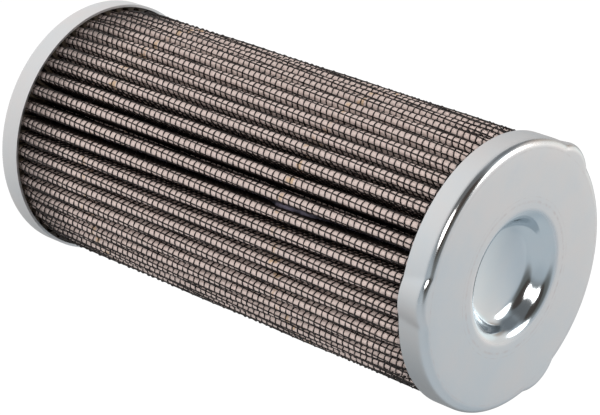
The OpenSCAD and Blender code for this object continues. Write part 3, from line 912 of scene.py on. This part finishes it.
# Open cap: a ring drawn from the same zinc-plated sheet, at the other end. A collar turned up
# inside it grips the seal carrier.
OPEN_RIM_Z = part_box("open_end_cap")[1].z
CARRIER_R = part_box("seal_carrier")[1].x
COLLAR_TOP = 0.005
OPEN_CAP_STEPS = 240
open_outline = (
    [(CARRIER_R, z) for z in np.linspace(COLLAR_TOP, CAP_BEND_R, 3)]
    + arc_points((CARRIER_R + CAP_BEND_R, CAP_BEND_R), CAP_BEND_R, 180, 270, steps=7)[1:]
    + [(r, 0) for r in np.linspace(CARRIER_R + CAP_BEND_R, CAP_R - CAP_BEND_R, 5)[1:-1]]
    + arc_points((CAP_R - CAP_BEND_R, CAP_BEND_R), CAP_BEND_R, 270, 360, steps=7)
    + [(CAP_R, z) for z in np.linspace(CAP_BEND_R, OPEN_RIM_Z, 4)[1:]]
)
open_bm = spun_sheet(open_outline, OPEN_CAP_STEPS, Vector((0, 0, -1)))
polish_layer = open_bm.verts.layers.float.new("polish")
for vert in open_bm.verts:
    radius = math.hypot(vert.co.x, vert.co.y)
    bend = clamped((radius - CAP_R + CAP_BEND_R) / CAP_BEND_R) if vert.co.z < CAP_BEND_R else 0
    vert[polish_layer] = math.sin(math.pi * bend)
open_cap = drawn_cap("open_cap", open_bm)
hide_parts("open_end_cap")

SHARP_CORNER = math.radians(25)


def finished_copy(name, node, material):
    """A copy of a CAD part with its facets joined, its round faces smooth and its corners sharp."""
    bm = bmesh.new()
    bm.from_mesh(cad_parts[node].data)
    bmesh.ops.remove_doubles(bm, verts=bm.verts, dist=1e-6)
    bmesh.ops.recalc_face_normals(bm, faces=bm.faces)
    for face in bm.faces:
        face.smooth = True
    for edge in bm.edges:
        edge.smooth = len(edge.link_faces) == 2 and edge.calc_face_angle() < SHARP_CORNER
    mesh = bpy.data.meshes.new(name)
    bm.to_mesh(mesh)
    bm.free()
    mesh.materials.append(material)
    part = bpy.data.objects.new(name, mesh)
    bpy.context.scene.collection.objects.link(part)
    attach(part, "root")
    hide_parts(node)


# Core tube: zinc-plated steel, punched with holes and rolled to a butt seam. It carries the inner
# folds of the pack.
finished_copy("core_pipe", "core_tube", zinc_finish("core_zinc"))

# Seal carrier: a turned steel ring in the open cap's collar, with a groove for the O-ring. It
# shows the rings left by the turning tool.
turned_steel = bpy.data.materials.new("turned_ring")
turned_steel.use_nodes = True
nodes, links = turned_steel.node_tree.nodes, turned_steel.node_tree.links
bsdf = nodes["Principled BSDF"]
bsdf.inputs["Metallic"].default_value = 1.0
ring_place = nodes.new("ShaderNodeTexCoord")
tool_marks = nodes.new("ShaderNodeTexWave")
tool_marks.wave_type = "RINGS"
tool_marks.rings_direction = "SPHERICAL"
tool_marks.inputs["Scale"].default_value = 1400
tool_marks.inputs["Distortion"].default_value = 1.5
tool_marks.inputs["Detail"].default_value = 2.0
links.new(ring_place.outputs["Object"], tool_marks.inputs["Vector"])
steel_clouds = mottling(ring_place.outputs["Object"], scale=300, detail=3.0)
steel_tone = two_tones(steel_clouds.outputs["Fac"], (0.46, 0.455, 0.45), (0.60, 0.60, 0.60), 0.3, 0.7)
links.new(steel_tone.outputs["Color"], bsdf.inputs["Base Color"])
steel_roughness = nodes.new("ShaderNodeMapRange")
steel_roughness.inputs["To Min"].default_value = 0.22
steel_roughness.inputs["To Max"].default_value = 0.42
links.new(tool_marks.outputs["Fac"], steel_roughness.inputs["Value"])
links.new(steel_roughness.outputs["Result"], bsdf.inputs["Roughness"])
tool_bump = nodes.new("ShaderNodeBump")
tool_bump.inputs["Distance"].default_value = 0.000008
links.new(tool_marks.outputs["Fac"], tool_bump.inputs["Height"])
links.new(tool_bump.outputs["Normal"], bsdf.inputs["Normal"])
finished_copy("carrier_ring", "seal_carrier", turned_steel)

# O-ring: moulded nitrile rubber, matte black with a few oily patches. It sits in the carrier's
# groove and seals on the spigot.
nitrile = bpy.data.materials.new("nitrile")
nitrile.use_nodes = True
nodes, links = nitrile.node_tree.nodes, nitrile.node_tree.links
bsdf = nodes["Principled BSDF"]
rubber_place = nodes.new("ShaderNodeTexCoord")
oil = mottling(rubber_place.outputs["Object"], scale=260, detail=3.0)
rubber_tone = two_tones(oil.outputs["Fac"], (0.012, 0.012, 0.013), (0.035, 0.034, 0.033))
links.new(rubber_tone.outputs["Color"], bsdf.inputs["Base Color"])
rubber_gloss = nodes.new("ShaderNodeMapRange")
rubber_gloss.inputs["From Min"].default_value = 0.4
rubber_gloss.inputs["From Max"].default_value = 0.65
rubber_gloss.inputs["To Min"].default_value = 0.30
rubber_gloss.inputs["To Max"].default_value = 0.60
links.new(oil.outputs["Fac"], rubber_gloss.inputs["Value"])
links.new(rubber_gloss.outputs["Result"], bsdf.inputs["Roughness"])
rubber_skin = mottling(rubber_place.outputs["Object"], scale=4000, detail=2.0)
rubber_bump = nodes.new("ShaderNodeBump")
rubber_bump.inputs["Distance"].default_value = 0.00001
links.new(rubber_skin.outputs["Fac"], rubber_bump.inputs["Height"])
links.new(rubber_bump.outputs["Normal"], bsdf.inputs["Normal"])
finished_copy("seal_ring", "o_ring", nitrile)

# Potting: dark resin poured into each cap, in which the ends of the pack stand. Bubbles and flow
# lines cloud it.
potting_resin = bpy.data.materials.new("dark_resin")
potting_resin.use_nodes = True
nodes, links = potting_resin.node_tree.nodes, potting_resin.node_tree.links
bsdf = nodes["Principled BSDF"]
bsdf.inputs["Roughness"].default_value = 0.32
resin_place = nodes.new("ShaderNodeTexCoord")
flow = mottling(resin_place.outputs["Object"], scale=320, detail=4.0)
flow.inputs["Distortion"].default_value = 1.2
resin_tone = two_tones(flow.outputs["Fac"], (0.030, 0.024, 0.018), (0.085, 0.068, 0.048), 0.3, 0.7)
links.new(resin_tone.outputs["Color"], bsdf.inputs["Base Color"])
bubbles = nodes.new("ShaderNodeTexVoronoi")
bubbles.inputs["Scale"].default_value = 900
links.new(resin_place.outputs["Object"], bubbles.inputs["Vector"])
resin_bump = nodes.new("ShaderNodeBump")
resin_bump.inputs["Distance"].default_value = 0.00005
resin_bump.inputs["Strength"].default_value = 0.4
links.new(bubbles.outputs["Distance"], resin_bump.inputs["Height"])
links.new(resin_bump.outputs["Normal"], bsdf.inputs["Normal"])
finished_copy("open_potting", "open_end_potting", potting_resin)
finished_copy("closed_potting", "closed_end_potting", potting_resin)
